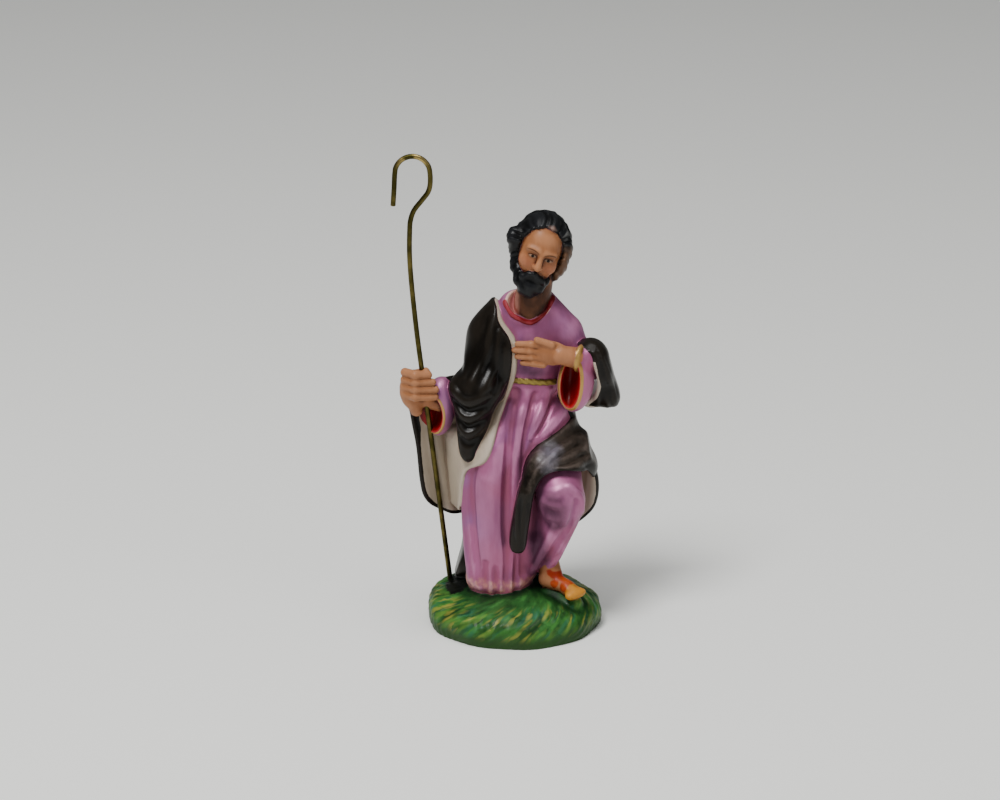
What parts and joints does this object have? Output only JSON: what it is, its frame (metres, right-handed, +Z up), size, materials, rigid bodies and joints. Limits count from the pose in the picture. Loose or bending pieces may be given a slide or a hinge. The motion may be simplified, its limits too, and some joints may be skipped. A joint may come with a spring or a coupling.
{
  "type": "presepe figure",
  "caption": "Hand-painted crib figure: bearded man in tunic and cloak kneeling on a grassy mound, one hand on his chest, the other holding a bent wire crook.",
  "frame": {"origin": "centre of the mound's flat underside", "axes": "+Z up; the man faces -Y; +X is on the viewer's right"},
  "size_m": [0.0529, 0.045, 0.1151],
  "materials": {
    "painted_plaster": "hand-painted, satin varnish",
    "brass_wire": "dull, slightly tarnished"
  },
  "bodies": {
    "root": {"figure": "painted_plaster", "crook": "brass_wire"}
  },
  "joints": []
}
